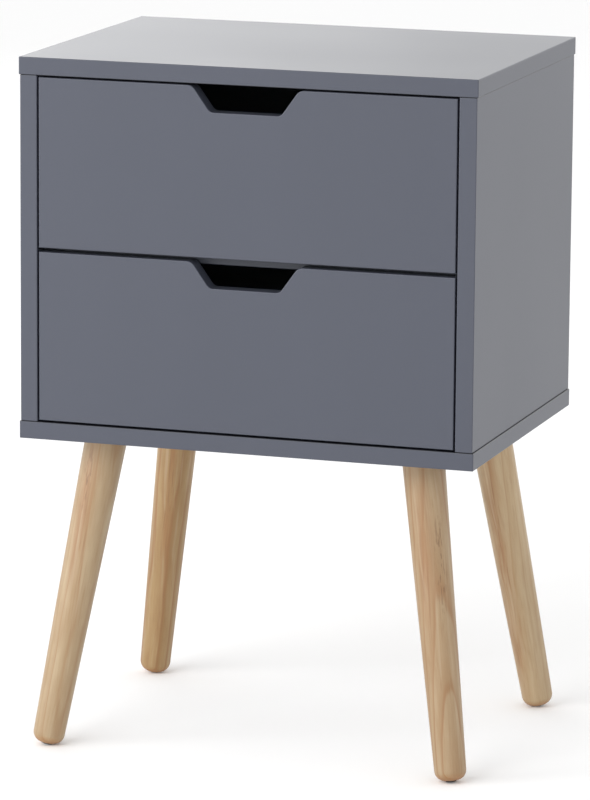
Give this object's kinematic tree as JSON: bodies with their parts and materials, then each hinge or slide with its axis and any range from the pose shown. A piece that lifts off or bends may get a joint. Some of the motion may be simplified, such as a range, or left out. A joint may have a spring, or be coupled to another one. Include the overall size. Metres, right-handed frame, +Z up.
{
  "type": "nightstand with drawers",
  "caption": "Grey lacquered nightstand: a box case with inset drawers on roller runners, finger cut-outs in the fronts, and splayed tapered wooden legs.",
  "frame": {"origin": "on the floor, under the centre of the case", "axes": "+X to the right along the width, the drawer fronts face -Y, +Z up"},
  "size_m": [0.4, 0.3, 0.595],
  "materials": {
    "grey_lacquer": "satin blue-grey lacquer on fibreboard",
    "box_foil": "matte grey foil on fibreboard",
    "hardboard": "grey painted hardboard",
    "pine": "clear satin lacquer",
    "beech": "bare turned beech",
    "runner_enamel": "pale epoxy coating",
    "zinc_steel": "bright zinc plate",
    "zinc_casting": "die-cast zinc alloy",
    "nylon": "natural nylon",
    "glide_plastic": "dark moulded plastic"
  },
  "bodies": {
    "case": {"back_panel": "hardboard", "bottom_panel": "grey_lacquer", "bottom_panel_screws": "zinc_steel", "cabinet_runner_screws": "zinc_steel", "case_cam_dowels": "zinc_steel", "case_cam_locks": "zinc_casting", "case_wood_dowels": "beech", "divider_rail": "grey_lacquer", "foot_glides": "glide_plastic", "front_left_leg": "pine", "front_left_leg_plate": "zinc_steel", "front_right_leg": "pine", "front_right_leg_plate": "zinc_steel", "front_roller_axles": "zinc_steel", "left_side_panel": "grey_lacquer", "leg_hanger_bolts": "zinc_steel", "leg_plate_screws": "zinc_steel", "lower_left_cabinet_runner": "runner_enamel", "lower_right_cabinet_runner": "runner_enamel", "rear_left_leg": "pine", "rear_left_leg_plate": "zinc_steel", "rear_right_leg": "pine", "rear_right_leg_plate": "zinc_steel", "right_side_panel": "grey_lacquer", "top_panel": "grey_lacquer", "upper_left_cabinet_runner": "runner_enamel", "upper_right_cabinet_runner": "runner_enamel"},
    "lower_drawer": {"lower_drawer_back": "box_foil", "lower_drawer_back_screws": "zinc_steel", "lower_drawer_bottom": "hardboard", "lower_drawer_cam_dowels": "zinc_steel", "lower_drawer_cam_locks": "zinc_casting", "lower_drawer_front": "grey_lacquer", "lower_drawer_left_side": "box_foil", "lower_drawer_right_side": "box_foil", "lower_drawer_runner_screws": "zinc_steel", "lower_left_drawer_runner": "runner_enamel", "lower_rear_roller_axles": "zinc_steel", "lower_right_drawer_runner": "runner_enamel"},
    "upper_drawer": {"upper_drawer_back": "box_foil", "upper_drawer_back_screws": "zinc_steel", "upper_drawer_bottom": "hardboard", "upper_drawer_cam_dowels": "zinc_steel", "upper_drawer_cam_locks": "zinc_casting", "upper_drawer_front": "grey_lacquer", "upper_drawer_left_side": "box_foil", "upper_drawer_right_side": "box_foil", "upper_drawer_runner_screws": "zinc_steel", "upper_left_drawer_runner": "runner_enamel", "upper_rear_roller_axles": "zinc_steel", "upper_right_drawer_runner": "runner_enamel"},
    "lower_left_front_roller": {"lower_left_front_roller": "nylon"},
    "lower_left_rear_roller": {"lower_left_rear_roller": "nylon"},
    "lower_right_front_roller": {"lower_right_front_roller": "nylon"},
    "lower_right_rear_roller": {"lower_right_rear_roller": "nylon"},
    "upper_left_front_roller": {"upper_left_front_roller": "nylon"},
    "upper_left_rear_roller": {"upper_left_rear_roller": "nylon"},
    "upper_right_front_roller": {"upper_right_front_roller": "nylon"},
    "upper_right_rear_roller": {"upper_right_rear_roller": "nylon"}
  },
  "joints": [
    {"name": "lower_drawer_slide", "type": "slide", "parent": "case", "child": "lower_drawer", "axis": [0, -1, 0], "range_m": [0, 0.19]},
    {"name": "upper_drawer_slide", "type": "slide", "parent": "case", "child": "upper_drawer", "axis": [0, -1, 0], "range_m": [0, 0.19]},
    {"name": "lower_left_front_roller_spin", "type": "hinge", "parent": "case", "child": "lower_left_front_roller", "pos_m": [-0.1781, -0.1211, 0.3059], "axis": [1, 0, 0], "continuous": true},
    {"name": "lower_left_rear_roller_spin", "type": "hinge", "parent": "lower_drawer", "child": "lower_left_rear_roller", "pos_m": [-0.1781, 0.1059, 0.3059], "axis": [1, 0, 0], "continuous": true},
    {"name": "lower_right_front_roller_spin", "type": "hinge", "parent": "case", "child": "lower_right_front_roller", "pos_m": [0.1781, -0.1211, 0.3059], "axis": [1, 0, 0], "continuous": true},
    {"name": "lower_right_rear_roller_spin", "type": "hinge", "parent": "lower_drawer", "child": "lower_right_rear_roller", "pos_m": [0.1781, 0.1059, 0.3059], "axis": [1, 0, 0], "continuous": true},
    {"name": "upper_left_front_roller_spin", "type": "hinge", "parent": "case", "child": "upper_left_front_roller", "pos_m": [-0.1781, -0.1211, 0.4536], "axis": [1, 0, 0], "continuous": true},
    {"name": "upper_left_rear_roller_spin", "type": "hinge", "parent": "upper_drawer", "child": "upper_left_rear_roller", "pos_m": [-0.1781, 0.1059, 0.4536], "axis": [1, 0, 0], "continuous": true},
    {"name": "upper_right_front_roller_spin", "type": "hinge", "parent": "case", "child": "upper_right_front_roller", "pos_m": [0.1781, -0.1211, 0.4536], "axis": [1, 0, 0], "continuous": true},
    {"name": "upper_right_rear_roller_spin", "type": "hinge", "parent": "upper_drawer", "child": "upper_right_rear_roller", "pos_m": [0.1781, 0.1059, 0.4536], "axis": [1, 0, 0], "continuous": true}
  ],
  "couplings": [
    {"joint": "lower_left_front_roller_spin", "follows": "lower_drawer_slide", "rad_per_m": 111.11},
    {"joint": "lower_left_rear_roller_spin", "follows": "lower_drawer_slide", "rad_per_m": 111.11},
    {"joint": "lower_right_front_roller_spin", "follows": "lower_drawer_slide", "rad_per_m": 111.11},
    {"joint": "lower_right_rear_roller_spin", "follows": "lower_drawer_slide", "rad_per_m": 111.11},
    {"joint": "upper_left_front_roller_spin", "follows": "upper_drawer_slide", "rad_per_m": 111.11},
    {"joint": "upper_left_rear_roller_spin", "follows": "upper_drawer_slide", "rad_per_m": 111.11},
    {"joint": "upper_right_front_roller_spin", "follows": "upper_drawer_slide", "rad_per_m": 111.11},
    {"joint": "upper_right_rear_roller_spin", "follows": "upper_drawer_slide", "rad_per_m": 111.11}
  ]
}
